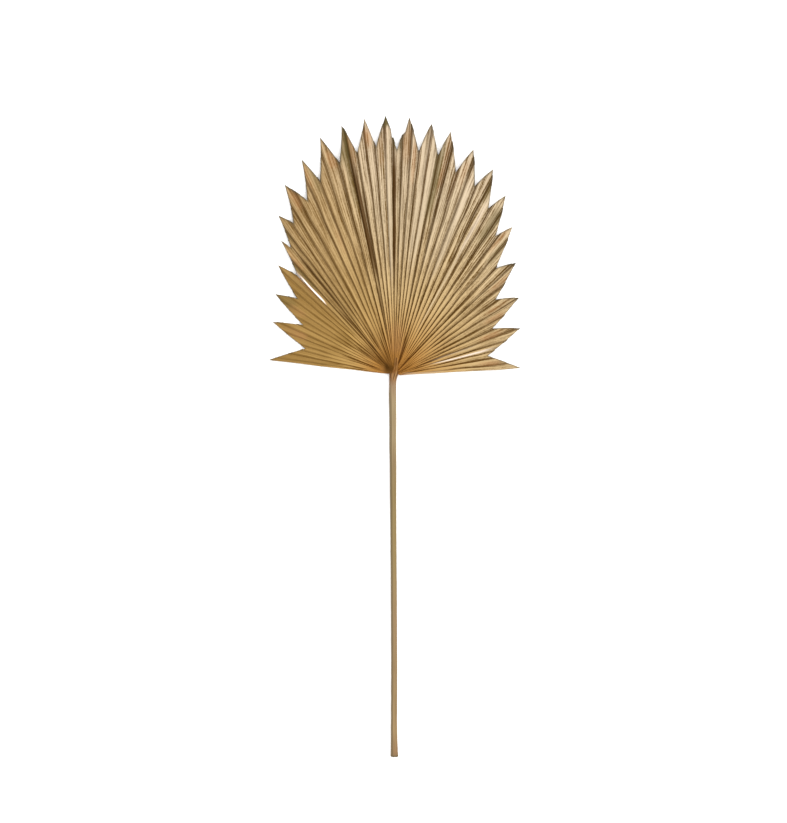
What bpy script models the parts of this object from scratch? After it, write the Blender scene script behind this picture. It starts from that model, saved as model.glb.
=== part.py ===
"""A dried sun palm leaf, lying face up: a straight stalk and a pleated fan with a trimmed, toothed edge.

The leaf grew as one piece, so it is one object. The origin is the middle of the small flat spot under the
hub, where the leaf touches the table. +Z is up, +Y runs from the stalk to the top of the fan.
"""

import math

import bmesh
import bpy
from mathutils import Vector

MM = 0.001
WELD_DISTANCE = 0.001
SHARP_ANGLE = 20

# The fan. Each tooth is (tip angle, tip reach, pleats, pleat slope), from the left edge to the right edge.
# Angles are degrees from +Y, positive to the right, and reaches are millimetres from the hub.
TEETH = (
    (-84.6, 118, 3, 14),
    (-67.6, 123, 4, 11),
    (-56.8, 133, 3, 11),
    (-47.4, 148, 2, 16),
    (-40.7, 162, 2, 30),
    (-36.5, 182, 2, 36),
    (-30.3, 203, 2, 28),
    (-23.5, 217, 2, 30),
    (-17.5, 230, 2, 30),
    (-12.0, 236, 2, 38),
    (-6.7, 239, 2, 34),
    (-1.9, 240, 2, 40),
    (3.5, 239, 3, 38),
    (8.6, 235, 2, 34),
    (13.3, 231, 2, 38),
    (19.7, 221, 2, 34),
    (26.1, 211, 2, 34),
    (32.4, 195, 2, 34),
    (39.3, 175, 2, 32),
    (48.1, 153, 3, 32),
    (59.2, 136, 3, 32),
    (70.9, 125, 4, 28),
    (88.4, 119, 3, 20),
)
# Each notch is (angle, reach), between two teeth.
NOTCHES = (
    (-75.2, 86),
    (-62.7, 96),
    (-52.8, 114),
    (-45.0, 129),
    (-39.8, 151),
    (-34.0, 168),
    (-26.8, 180),
    (-21.2, 192),
    (-14.6, 202),
    (-9.6, 208),
    (-4.6, 211),
    (0.3, 209),
    (6.4, 208),
    (11.5, 207),
    (17.2, 196),
    (23.5, 190),
    (30.0, 177),
    (36.8, 159),
    (44.5, 136),
    (54.5, 117),
    (66.2, 101),
    (80.2, 89),
)
# How far a tooth's sides bow out. Each upper left tooth has a hollow left side.
TOOTH_BULGE = 0.8
TOOTH_HOLLOW = -0.9
UPPER_LEFT = (-45.0, -5.0)
BLADE_THICKNESS = 0.8

# The fold lines start on a small circle inside the hub, and spread a little wider there than at the edge.
ROOT_REACH = 5.5
ROOT_CENTRE = (0.3, -1.3)
ROOT_SPREAD = 1.18
ROOT_TURN = 4.0

# The grid's rows, as shares of the way from the root to the edge, and how the pleats rise out of the hub.
PLEAT_ROWS = (0.0, 0.1, 0.22, 0.36, 0.5, 0.64, 0.77, 0.89, 1.0)
MOST_PLEAT_HEIGHT = 4.5
PLEATS_START, PLEATS_FULL = 7.0, 34.0

# How high the fan's valleys lie above the table.
HUB_LIFT = 2.6
HUB_LIFT_ENDS = 70.0
WAVE_LIFT = 1.6
WAVE_ANGLE = 60.0
WAVE_STARTS, WAVE_ENDS = 45.0, 110.0
TIP_CURL = 5.0
CURL_STARTS = 0.55

# The narrow split between the fourth and the fifth tooth, from its closed end to past its mouth.
SPLIT_END = (-45.8, 91.0)
SPLIT_MOUTH = (-44.6, 150.0)
SPLIT_WIDTH = 3.0
SPLIT_CUTTER_HEIGHT = 20.0

# The stalk. Each station is (distance from the hub, sideways offset, width), and the first is the cut end.
STALK_STATIONS = (
    (-361, 0.2, 6.4),
    (-357, 0.1, 5.8),
    (-340, 0.0, 5.4),
    (-265, 0.0, 5.3),
    (-190, -0.6, 5.1),
    (-145, -0.9, 5.0),
    (-95, -1.2, 5.8),
    (-45, -1.4, 6.3),
    (-20, -1.4, 6.5),
    (-10, -1.2, 6.6),
    (-4, -0.8, 7.8),
)
STALK_DEPTH_SHARE = 0.8
STALK_ARCH = 1.5
STALK_RISE = 0.6
STALK_SIDES = 24
STALK_STEPS = 26
STALK_FLATNESS = 0.12

# The stalk runs on over the front of the pleats as a tongue, and behind the fan as a rib.
# Each station of the tongue is (distance from the hub, sideways offset, height, width).
TONGUE_STATIONS = (
    (2, 0.7, 4.2, 6.7),
    (7, 1.5, 4.3, 5.0),
    (12, 2.0, 4.1, 3.6),
    (17, 2.1, 3.6, 1.2),
)
# The rib starts inside the stalk, at (distance from the hub, sideways offset, height).
RIB_START = (-12, -1.0, 3.0)
RIB_STEPS = 4
RIB_LENGTH = 34.0
RIB_WIDTH = 5.0
RIB_TAPER = 0.7

# The hub is the swelling where the pleats run into the stalk.
HUB_SIZE = (11.6, 15.0, 7.0)
HUB_CENTRE = (0.2, 0.5, 1.9)
HUB_SIDES, HUB_RINGS = 24, 12

LEAF_COLOUR = (0.47, 0.31, 0.14, 1.0)
LEAF_ROUGHNESS = 0.62


def smooth_step(low, high, value):
    """0 below low and 1 above high, with an even rise between them."""
    share = min(max((value - low) / (high - low), 0.0), 1.0)
    return share * share * (3 - 2 * share)


def on_fan(angle_deg, reach):
    """A point of the fan's plan in millimetres, from its angle and its distance from the hub."""
    angle = math.radians(angle_deg)
    return Vector((reach * math.sin(angle), reach * math.cos(angle)))


def clear_scene():
    """Removes every object, and starts the collections."""
    for obj in list(bpy.data.objects):
        bpy.data.objects.remove(obj)


def new_collection(name):
    """A collection linked to the scene."""
    made = bpy.data.collections.new(name)
    bpy.context.scene.collection.children.link(made)
    return made


def add_object(name, data, collection):
    """An object of that data in that collection."""
    made = bpy.data.objects.new(name, data)
    collection.objects.link(made)
    return made


def leaf_material():
    """The straw colour of the whole leaf."""
    made = bpy.data.materials.new("dried_palm")
    made.use_nodes = True
    shader = made.node_tree.nodes["Principled BSDF"]
    shader.inputs["Base Color"].default_value = LEAF_COLOUR
    shader.inputs["Roughness"].default_value = LEAF_ROUGHNESS
    shader.inputs["Metallic"].default_value = 0.0
    return made


def tooth_side(start, end, steps, bow):
    """Points from start towards end, in equal steps that leave out end, on a line bowed out that far."""
    along = end - start
    outward = Vector((-along.y, along.x)).normalized()
    if outward.dot(start + end) < 0:
        outward = -outward
    shares = [step / steps for step in range(steps)]
    return [start + along * s + outward * bow * 4 * s * (1 - s) for s in shares]


def fold_lines():
    """The fan's fold lines from left to right, as (outer end, tip reach near it, pleat slope in degrees).

    Even lines are valleys and odd ones are ridges. Each notch is a valley.
    """
    tips = [on_fan(angle, reach) for angle, reach, _, _ in TEETH]
    notches = [on_fan(*notch) for notch in NOTCHES]
    lefts = [tips[0], *notches]
    rights = [*notches, tips[-1]]
    left_angles = [TEETH[0][0], *(angle for angle, _ in NOTCHES)]
    right_angles = [*(angle for angle, _ in NOTCHES), TEETH[-1][0]]
    lines = []
    for n, (tip_angle, reach, pleats, slope) in enumerate(TEETH):
        share = (tip_angle - left_angles[n]) / (right_angles[n] - left_angles[n])
        rise = round(2 * pleats * share)
        ends = []
        if rise:
            is_hollow = UPPER_LEFT[0] < tip_angle < UPPER_LEFT[1]
            ends += tooth_side(lefts[n], tips[n], rise, TOOTH_HOLLOW if is_hollow else TOOTH_BULGE)
        if rise < 2 * pleats:
            ends += tooth_side(tips[n], rights[n], 2 * pleats - rise, TOOTH_BULGE)
        lines += [(end, reach, slope) for end in ends]
    lines.append((tips[-1], TEETH[-1][1], TEETH[-1][3]))
    return lines


def valley_lift(reach, angle_deg, tip_reach):
    """How high a valley's underside lies above the table, in millimetres."""
    at_hub = HUB_LIFT * (1 - smooth_step(ROOT_REACH, HUB_LIFT_ENDS, reach))
    swell = 0.5 - 0.5 * math.cos(2 * math.pi * angle_deg / WAVE_ANGLE)
    wave = WAVE_LIFT * swell * smooth_step(WAVE_STARTS, WAVE_ENDS, reach)
    past = max(reach / tip_reach - CURL_STARTS, 0.0) / (1 - CURL_STARTS)
    return at_hub + wave + TIP_CURL * past**2


def fan_blade(collection):
    """The pleated sheet: a grid whose columns are laid along the fold lines, then given its thickness."""
    lines = fold_lines()
    angles = [math.degrees(math.atan2(end.x, end.y)) for end, _, _ in lines]
    last = len(lines) - 1
    rows = len(PLEAT_ROWS) - 1
    bm = bmesh.new()
    bmesh.ops.create_grid(bm, x_segments=last, y_segments=rows, size=0.5)
    for vert in bm.verts:
        column = round((vert.co.x + 0.5) * last)
        row = round((vert.co.y + 0.5) * rows)
        end, tip_reach, slope = lines[column]
        root = Vector(ROOT_CENTRE) + on_fan(angles[column] * ROOT_SPREAD + ROOT_TURN, ROOT_REACH)
        place = root.lerp(end, PLEAT_ROWS[row])
        reach = place.length
        height = valley_lift(reach, angles[column], tip_reach) + BLADE_THICKNESS
        if column % 2:
            pitch = math.radians(angles[column + 1] - angles[column - 1]) / 2
            rise = reach * pitch * math.tan(math.radians(slope))
            rise *= smooth_step(PLEATS_START, PLEATS_FULL, reach)
            height += min(rise, MOST_PLEAT_HEIGHT)
        vert.co = Vector((place.x, place.y, height)) * MM
    bmesh.ops.triangulate(bm, faces=bm.faces, quad_method="FIXED")
    mesh = bpy.data.meshes.new("palm_leaf")
    bm.to_mesh(mesh)
    bm.free()
    blade = add_object("palm_leaf", mesh, collection)
    sheet = blade.modifiers.new("thickness", "SOLIDIFY")
    sheet.thickness = BLADE_THICKNESS * MM
    sheet.offset = -1
    return blade


def split_cutter(collection):
    """The thin wedge that opens the split between two teeth."""
    end = on_fan(*SPLIT_END)
    mouth = on_fan(*SPLIT_MOUTH)
    across = (mouth - end).orthogonal().normalized() * SPLIT_WIDTH / 2
    curve = bpy.data.curves.new("split", "CURVE")
    curve.dimensions = "2D"
    curve.fill_mode = "BOTH"
    curve.extrude = SPLIT_CUTTER_HEIGHT * MM
    wedge = curve.splines.new("POLY")
    wedge.points.add(2)
    for point, place in zip(wedge.points, (end, mouth - across, mouth + across)):
        point.co = (place.x * MM, place.y * MM, 0, 1)
    wedge.use_cyclic_u = True
    made = add_object("split", curve, collection)
    return as_mesh(made, collection)


def as_mesh(obj, collection):
    """The object's evaluated shape as a mesh object in its place, with its caps welded."""
    bpy.context.view_layer.update()
    evaluated = obj.evaluated_get(bpy.context.evaluated_depsgraph_get())
    mesh = bpy.data.meshes.new_from_object(evaluated)
    bm = bmesh.new()
    bm.from_mesh(mesh)
    bmesh.ops.remove_doubles(bm, verts=bm.verts, dist=WELD_DISTANCE * MM)
    bmesh.ops.recalc_face_normals(bm, faces=bm.faces)
    bm.to_mesh(mesh)
    bm.free()
    name = obj.name
    place = obj.matrix_world.copy()
    bpy.data.objects.remove(obj)
    made = add_object(name, mesh, collection)
    made.matrix_world = place
    return made


def stalk_profile(collection):
    """The stalk's section, one unit wide: round below and flatter above."""
    curve = bpy.data.curves.new("stalk_section", "CURVE")
    curve.dimensions = "2D"
    outline = curve.splines.new("POLY")
    outline.points.add(STALK_SIDES - 1)
    for step, point in enumerate(outline.points):
        angle = 2 * math.pi * step / STALK_SIDES
        across, up = 0.5 * math.cos(angle), 0.5 * STALK_DEPTH_SHARE * math.sin(angle)
        if up > 0:
            up -= STALK_FLATNESS * math.sin(angle) ** 4
        point.co = (across, up, 0, 1)
    outline.use_cyclic_u = True
    made = add_object("stalk_section", curve, collection)
    made.hide_render = True
    made.display_type = "WIRE"
    return made


def station_at(along, column):
    """The stalk's sideways offset or width at a distance along it, read smoothly between its stations."""
    for near, far in zip(STALK_STATIONS, STALK_STATIONS[1:]):
        if along <= far[0]:
            share = smooth_step(near[0], far[0], along)
            return near[column] * (1 - share) + far[column] * share
    return STALK_STATIONS[-1][column]


def tapered_stem(name, route, profile, collection):
    """A stem of that profile through the route's points, each (across, along, height, width)."""
    curve = bpy.data.curves.new(name, "CURVE")
    curve.dimensions = "3D"
    curve.twist_mode = "Z_UP"
    curve.bevel_mode = "OBJECT"
    curve.bevel_object = profile
    curve.use_fill_caps = True
    spline = curve.splines.new("POLY")
    spline.points.add(len(route) - 1)
    for point, (across, along, up, width) in zip(spline.points, route):
        point.co = (across * MM, along * MM, up * MM, 1)
        point.radius = width * MM
    return as_mesh(add_object(name, curve, collection), collection)


def stalk_route():
    """The stalk, bowed a little off the table, with the tongue that it sends over the front of the pleats."""
    cut_end, flare_end, top_end = (STALK_STATIONS[n][0] for n in (0, 1, -1))
    even = [flare_end + (top_end - flare_end) * step / STALK_STEPS for step in range(STALK_STEPS + 1)]
    route = []
    for along in (cut_end, *even):
        width = station_at(along, 2)
        bow = STALK_ARCH * math.sin(math.pi * along / cut_end) + STALK_RISE * (1 - along / cut_end)
        route.append((station_at(along, 1), along, width * STALK_DEPTH_SHARE / 2 + bow, width))
    return route + [(across, along, up, width) for along, across, up, width in TONGUE_STATIONS]


def rib_route():
    """The rib behind the fan, which rises into the sheet as it thins out."""
    along, across, up = RIB_START
    route = [(across, along, up, RIB_WIDTH)]
    middle_tip = TEETH[len(TEETH) // 2][1]
    for step in range(RIB_STEPS):
        share = (step + 1) / RIB_STEPS
        along = RIB_LENGTH * share
        width = RIB_WIDTH * (1 - RIB_TAPER * share)
        sheet_middle = valley_lift(along, 0.0, middle_tip) + BLADE_THICKNESS / 2
        up = sheet_middle - width * (STALK_DEPTH_SHARE / 2 - STALK_FLATNESS)
        route.append((0.0, along, up, width))
    return route


def hub_swelling(collection):
    """The swelling where the pleats meet the stalk, cut level with the table below."""
    bm = bmesh.new()
    bmesh.ops.create_uvsphere(bm, u_segments=HUB_SIDES, v_segments=HUB_RINGS, radius=0.5)
    for vert in bm.verts:
        vert.co = Vector(c * s + m for c, s, m in zip(vert.co, HUB_SIZE, HUB_CENTRE)) * MM
    cut = bmesh.ops.bisect_plane(
        bm, geom=[*bm.verts, *bm.edges, *bm.faces], plane_co=(0, 0, 0), plane_no=(0, 0, -1), clear_outer=True
    )
    rim = [item for item in cut["geom_cut"] if isinstance(item, bmesh.types.BMEdge)]
    bmesh.ops.edgeloop_fill(bm, edges=rim)
    bmesh.ops.recalc_face_normals(bm, faces=bm.faces)
    mesh = bpy.data.meshes.new("hub")
    bm.to_mesh(mesh)
    bm.free()
    return add_object("hub", mesh, collection)


def apply_modifiers(obj):
    """Makes the object's modified shape its own mesh."""
    bpy.context.view_layer.update()
    evaluated = obj.evaluated_get(bpy.context.evaluated_depsgraph_get())
    shaped = bpy.data.meshes.new_from_object(evaluated)
    obj.modifiers.clear()
    obj.data = shaped


def build():
    """Makes the fan, cuts its split, and joins the stalk, the hub and the tongue to it as one body."""
    clear_scene()
    leaf_parts = new_collection("dried_sun_palm_leaf")
    helpers = new_collection("cutters")
    joined = new_collection("grown_together")
    blade = fan_blade(leaf_parts)
    cutter = split_cutter(helpers)
    cut = blade.modifiers.new("split", "BOOLEAN")
    cut.operation = "DIFFERENCE"
    cut.object = cutter
    profile = stalk_profile(helpers)
    tapered_stem("stalk", stalk_route(), profile, joined)
    tapered_stem("rib", rib_route(), profile, joined)
    hub_swelling(joined)
    union = blade.modifiers.new("grown_together", "BOOLEAN")
    union.operation = "UNION"
    union.operand_type = "COLLECTION"
    union.collection = joined
    apply_modifiers(blade)
    for helper in [*joined.objects, *helpers.objects]:
        bpy.data.objects.remove(helper)
    blade.data.materials.clear()
    blade.data.materials.append(leaf_material())
    blade.data.shade_smooth()
    blade.data.set_sharp_from_angle(angle=math.radians(SHARP_ANGLE))


build()
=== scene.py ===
"""A dried sun palm leaf as it looks.

Its pieces are the pleated fan, the straight stalk with the tongue where they meet, the swelling of the hub
and the stalk's short rib behind the fan.

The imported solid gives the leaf's size and place. Lengths here are millimetres in the same frame, with the
origin under the hub, +Y towards the top of the fan and +Z up. Angles are degrees from +Y, positive to the
right.
"""

import logging
from dataclasses import dataclass
from enum import Enum
from typing import ClassVar

import bpy
import numpy as np
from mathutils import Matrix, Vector


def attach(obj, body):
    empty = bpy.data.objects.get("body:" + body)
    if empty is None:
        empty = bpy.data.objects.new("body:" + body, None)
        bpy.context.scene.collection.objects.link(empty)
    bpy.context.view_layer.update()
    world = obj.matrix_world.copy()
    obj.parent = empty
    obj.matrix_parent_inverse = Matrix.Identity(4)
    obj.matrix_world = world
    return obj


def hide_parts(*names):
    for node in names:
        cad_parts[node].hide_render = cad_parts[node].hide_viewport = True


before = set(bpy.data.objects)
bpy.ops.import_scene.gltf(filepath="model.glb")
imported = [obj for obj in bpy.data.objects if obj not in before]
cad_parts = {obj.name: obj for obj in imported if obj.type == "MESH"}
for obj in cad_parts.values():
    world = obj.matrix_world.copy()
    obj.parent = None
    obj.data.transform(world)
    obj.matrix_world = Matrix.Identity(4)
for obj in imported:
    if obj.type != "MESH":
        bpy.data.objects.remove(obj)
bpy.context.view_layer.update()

MM = 0.001
LEAF_NODE = "palm_leaf"
LEAF_BODY = "root"
LOG = logging.getLogger("palm_leaf")

Colour = tuple[float, float, float]
Socket = bpy.types.NodeSocket
Material = bpy.types.Material
Array = np.ndarray
Pair = tuple[float, float]
Point = tuple[float, float, float]
Numbers = tuple[float, ...]
Rows = tuple[Numbers, ...]


def smooth_step(low: float, high: float, value: Array | float) -> Array | float:
    """An even rise from 0 to 1.

    Args:
        low: Where the rise starts.
        high: Where the rise ends.
        value: What is measured.

    Returns:
        0 below low, 1 above high, and a smooth share between them.
    """
    share = np.clip((value - low) / (high - low), 0.0, 1.0)
    return share * share * (3.0 - 2.0 * share)


def on_fan(angle_deg: Array | float, reach: Array | float) -> Array:
    """A place in the fan's plan.

    Args:
        angle_deg: The direction from the hub.
        reach: The distance from the hub.

    Returns:
        The place as (across, along) in the last axis.
    """
    angle = np.radians(angle_deg)
    return np.stack([reach * np.sin(angle), reach * np.cos(angle)], axis=-1)


@dataclass(frozen=True)
class SmoothNoise:
    """Seeded random values on a grid, read smoothly between the grid's points."""

    seed: int
    strength: float = 1.0
    # How many of the grid's cells there are to one unit of each measure.
    cells: Pair = (1.0, 1.0)
    size: int = 128

    def at(self, across: Array, along: Array | float = 0.0) -> Array:
        """Reads the noise.

        Args:
            across: Places along the grid's first side.
            along: Places along the grid's second side.

        Returns:
            Values from minus the strength to the strength.
        """
        values = np.random.default_rng(self.seed).uniform(-1.0, 1.0, (self.size, self.size))
        places = (np.asarray(place, float) * cells for place, cells in zip((across, along), self.cells))
        across, along = np.broadcast_arrays(*places)
        column, row = np.floor(across).astype(int), np.floor(along).astype(int)
        share_c = smooth_step(0.0, 1.0, across - column)
        share_r = smooth_step(0.0, 1.0, along - row)

        def corner(step_c: int, step_r: int) -> Array:
            """The grid's value at one corner of each place's cell."""
            return values[(column + step_c) % self.size, (row + step_r) % self.size]

        near = corner(0, 0) * (1 - share_c) + corner(1, 0) * share_c
        far = corner(0, 1) * (1 - share_c) + corner(1, 1) * share_c
        return self.strength * (near * (1 - share_r) + far * share_r)


class Paint(Enum):
    """The kinds of colour that a streak can lay on the fan, by the name of the mesh attribute."""

    # Negative shade is painted shade and positive shade painted light, partly darker and paler straw.
    SHADE = "shade"
    TONE = "tone"
    RUST = "rust"
    OLIVE = "olive"
    WHITE = "white"


@dataclass(frozen=True)
class Streak:
    """A band of colour that runs along the pleats."""

    paint: Paint
    angle: float
    half_width: float
    inner: float
    outer: float
    strength: float
    lean: float = 0.0
    fade: float = 0.3

    def weight(self, angle: Array, reach: Array) -> Array:
        """How strongly the band colours each place.

        Args:
            angle: The places' directions from the hub.
            reach: The places' distances from the hub.

        Returns:
            The strength at each place, 0 outside the band.
        """
        fade = self.fade * (self.outer - self.inner)
        way_in = (self.outer - reach) / (self.outer - self.inner)
        off_centre = np.abs(angle - self.angle - self.lean * way_in)
        across = 1 - smooth_step(0.6 * self.half_width, self.half_width, off_centre)
        along = smooth_step(self.inner, self.inner + fade, reach)
        along = along * (1 - smooth_step(self.outer - fade, self.outer, reach))
        return self.strength * across * along


@dataclass(frozen=True)
class Spot:
    """A soft round patch of colour near the hub."""

    paint: Paint
    across: float
    along: float
    radius: float
    strength: float

    def weight(self, across: Array, along: Array) -> Array:
        """How strongly the patch colours each place, 0 outside it."""
        away = np.hypot(across - self.across, along - self.along)
        return self.strength * (1 - smooth_step(0.25 * self.radius, self.radius, away))


@dataclass(frozen=True)
class PleatRun:
    """A run of evenly spaced pleats, from the last run's end to its own."""

    end_angle: float
    pleats: int


@dataclass(frozen=True)
class Tooth:
    """One tooth of the fan's trimmed edge, with the slope of its pleats."""

    tip_angle: float
    tip_reach: float
    slope: float
    twist: float = 0.0
    lift: float = 0.0


class NodeTree:
    """A material's nodes, added and linked by short calls."""

    def __init__(self, name: str) -> None:
        """Starts a material with a Principled shader.

        Args:
            name: The material's name.
        """
        self.material = bpy.data.materials.new(name)
        self.material.use_nodes = True
        self.tree = self.material.node_tree
        self.shader = self.tree.nodes["Principled BSDF"]

    def feed(self, socket: Socket, value: Socket | float | Colour) -> None:
        """Links a source to a socket, or sets a number or an opaque colour on it."""
        if isinstance(value, Socket):
            self.tree.links.new(value, socket)
        else:
            socket.default_value = (*value, 1.0) if isinstance(value, tuple) else value

    def feed_shader(self, **values: Socket | float | Colour) -> None:
        """Feeds the shader's own sockets, by name with _ for a space."""
        for name, value in values.items():
            self.feed(self.shader.inputs[name.replace("_", " ")], value)

    def add(self, kind: str, **settings: object) -> bpy.types.Node:
        """Adds a node and sets its own properties."""
        node = self.tree.nodes.new(kind)
        for name, value in settings.items():
            setattr(node, name, value)
        return node

    def attribute(self, name: str) -> Socket:
        """A mesh attribute's value."""
        return self.add("ShaderNodeAttribute", attribute_name=name).outputs["Fac"]

    def object_point(self) -> Socket:
        """The place on the object, in metres."""
        return self.add("ShaderNodeTexCoord").outputs["Object"]

    def math(self, operation: str, *values: Socket | float, clamp: bool = False) -> Socket:
        """One step of arithmetic.

        Args:
            operation: Blender's name of the step.
            values: One or two numbers or sources.
            clamp: Whether the result is kept from 0 to 1.

        Returns:
            The result's socket.
        """
        node = self.add("ShaderNodeMath", operation=operation, use_clamp=clamp)
        for socket, value in zip(node.inputs, values):
            self.feed(socket, value)
        return node.outputs["Value"]

    def times(self, first: Socket, second: Socket | float, clamp: bool = False) -> Socket:
        """One value times another."""
        return self.math("MULTIPLY", first, second, clamp=clamp)

    def plus(self, first: Socket, second: Socket | float, clamp: bool = False) -> Socket:
        """One value and another together."""
        return self.math("ADD", first, second, clamp=clamp)

    def remap(self, value: Socket, low: float, high: float, new_low: float, new_high: float) -> Socket:
        """Carries a range of values over to another, and holds the result inside it.

        Args:
            value: The source.
            low: The source's value that gives new_low.
            high: The source's value that gives new_high.
            new_low: The result at low.
            new_high: The result at high.

        Returns:
            The result's socket.
        """
        node = self.add("ShaderNodeMapRange")
        self.tree.links.new(value, node.inputs["Value"])
        names = ("From Min", "From Max", "To Min", "To Max")
        for name, number in zip(names, (low, high, new_low, new_high)):
            node.inputs[name].default_value = number
        return node.outputs["Result"]

    def combine(self, *parts: Socket | float) -> Socket:
        """A vector from up to three values or sources."""
        node = self.add("ShaderNodeCombineXYZ")
        for socket, value in zip(node.inputs, parts):
            self.feed(socket, value)
        return node.outputs["Vector"]

    def stretched(self, source: Socket, scale: Point) -> Socket:
        """A vector scaled by its axes."""
        node = self.add("ShaderNodeVectorMath", operation="MULTIPLY")
        self.tree.links.new(source, node.inputs[0])
        node.inputs[1].default_value = scale
        return node.outputs["Vector"]

    def noise(self, vector: Socket, scale: float, detail: float = 3.0, roughness: float = 0.55) -> Socket:
        """Cloudy noise.

        Args:
            vector: Where it is read.
            scale: Its cells per unit of the vector.
            detail: How many finer layers it has.
            roughness: How strong the finer layers are.

        Returns:
            The noise's socket, about 0.5 on average.
        """
        node = self.add("ShaderNodeTexNoise")
        self.tree.links.new(vector, node.inputs["Vector"])
        node.inputs["Scale"].default_value = scale
        node.inputs["Detail"].default_value = detail
        node.inputs["Roughness"].default_value = roughness
        return node.outputs["Fac"]

    def ramp(self, value: Socket, stops: tuple[tuple[float, Colour], ...]) -> Socket:
        """A colour read from a scale of stops.

        Args:
            value: Where it is read, from 0 to 1.
            stops: Each stop's place and colour, in order.

        Returns:
            The colour's socket.
        """
        node = self.add("ShaderNodeValToRGB")
        self.tree.links.new(value, node.inputs["Fac"])
        elements = node.color_ramp.elements
        while len(elements) < len(stops):
            elements.new(0.5)
        for element, (place, colour) in zip(elements, stops):
            element.position = place
            element.color = (*colour, 1.0)
        return node.outputs["Color"]

    def mix(self, share: Socket, first: Socket | Colour, second: Socket | Colour) -> Socket:
        """One colour laid over another.

        Args:
            share: How much of the second colour shows, held from 0 to 1.
            first: The colour below.
            second: The colour on top.

        Returns:
            The mixed colour's socket.
        """
        node = self.add("ShaderNodeMix", data_type="RGBA")
        # A mix of colours has its colours at the sockets 6 and 7, and its result at 2.
        for socket, value in zip((node.inputs["Factor"], *node.inputs[6:8]), (share, first, second)):
            self.feed(socket, value)
        return node.outputs[2]

    def bump(self, height: Socket, depth: float, strength: float) -> None:
        """Feeds a height to the shader's normal.

        Args:
            height: The height's source, from 0 to 1.
            depth: The relief's depth in millimetres.
            strength: The relief's strength, from 0 to 1.
        """
        node = self.add("ShaderNodeBump")
        self.tree.links.new(height, node.inputs["Height"])
        node.inputs["Distance"].default_value = depth * MM
        node.inputs["Strength"].default_value = strength
        self.feed_shader(Normal=node.outputs["Normal"])


@dataclass(frozen=True)
class FibreLayer:
    """Noise that runs along the fan's strips, and how far it lightens or darkens the straw."""

    # The noise's cells across a strip and along the longest reach.
    per_strip: float
    per_reach: float
    layer: float
    detail: float
    # The part of the noise that is used, and the change in tone that it gives.
    used: Pair
    change: Pair

    def noise(self, nodes: NodeTree, strip: Socket, reach: Socket) -> Socket:
        """The layer's noise, with strong finer layers."""
        across, along = nodes.times(strip, self.per_strip), nodes.times(reach, self.per_reach)
        return nodes.noise(nodes.combine(across, along, self.layer), 1.0, self.detail, 0.8)

    def tone(self, nodes: NodeTree, noise: Socket) -> Socket:
        """The change in tone that the layer's noise gives."""
        return nodes.remap(noise, *self.used, *self.change)


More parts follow.
